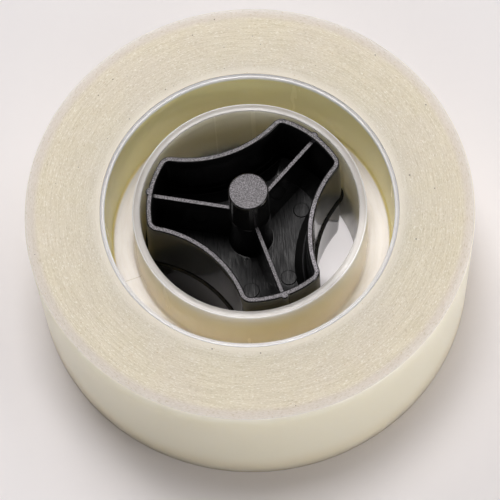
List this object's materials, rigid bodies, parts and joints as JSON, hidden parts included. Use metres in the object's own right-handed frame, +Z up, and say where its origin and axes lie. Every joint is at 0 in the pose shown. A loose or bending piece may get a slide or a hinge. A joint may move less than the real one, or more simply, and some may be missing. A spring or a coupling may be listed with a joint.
{
  "type": "tape roll on dispenser hub",
  "caption": "Roll of translucent adhesive tape on a moulded core, carried by a three-lobed plastic hub with a central axle pin.",
  "frame": {"origin": "on the roll's axis, in the plane of its lower end face", "axes": "+Z up along the roll's axis, towards the axle pin's tip; +X to the viewer's right and +Y away from the viewer"},
  "size_m": [0.053, 0.053, 0.0235],
  "materials": {
    "tape": "wound translucent film, satin on the outer turn, finely layered on the end faces",
    "core_plastic": "glossy off-white moulded polystyrene, slightly translucent",
    "hub_plastic": "glossy black moulded plastic, with fine-grained rims, ribs and pin end"
  },
  "bodies": {
    "hub": {"hub": "hub_plastic"},
    "roll": {"tape_roll": "tape", "core": "core_plastic"}
  },
  "joints": [
    {"name": "roll_spin", "type": "hinge", "parent": "hub", "child": "roll", "pos_m": [0, 0, 0.0095], "axis": [0, 0, 1], "continuous": true}
  ]
}
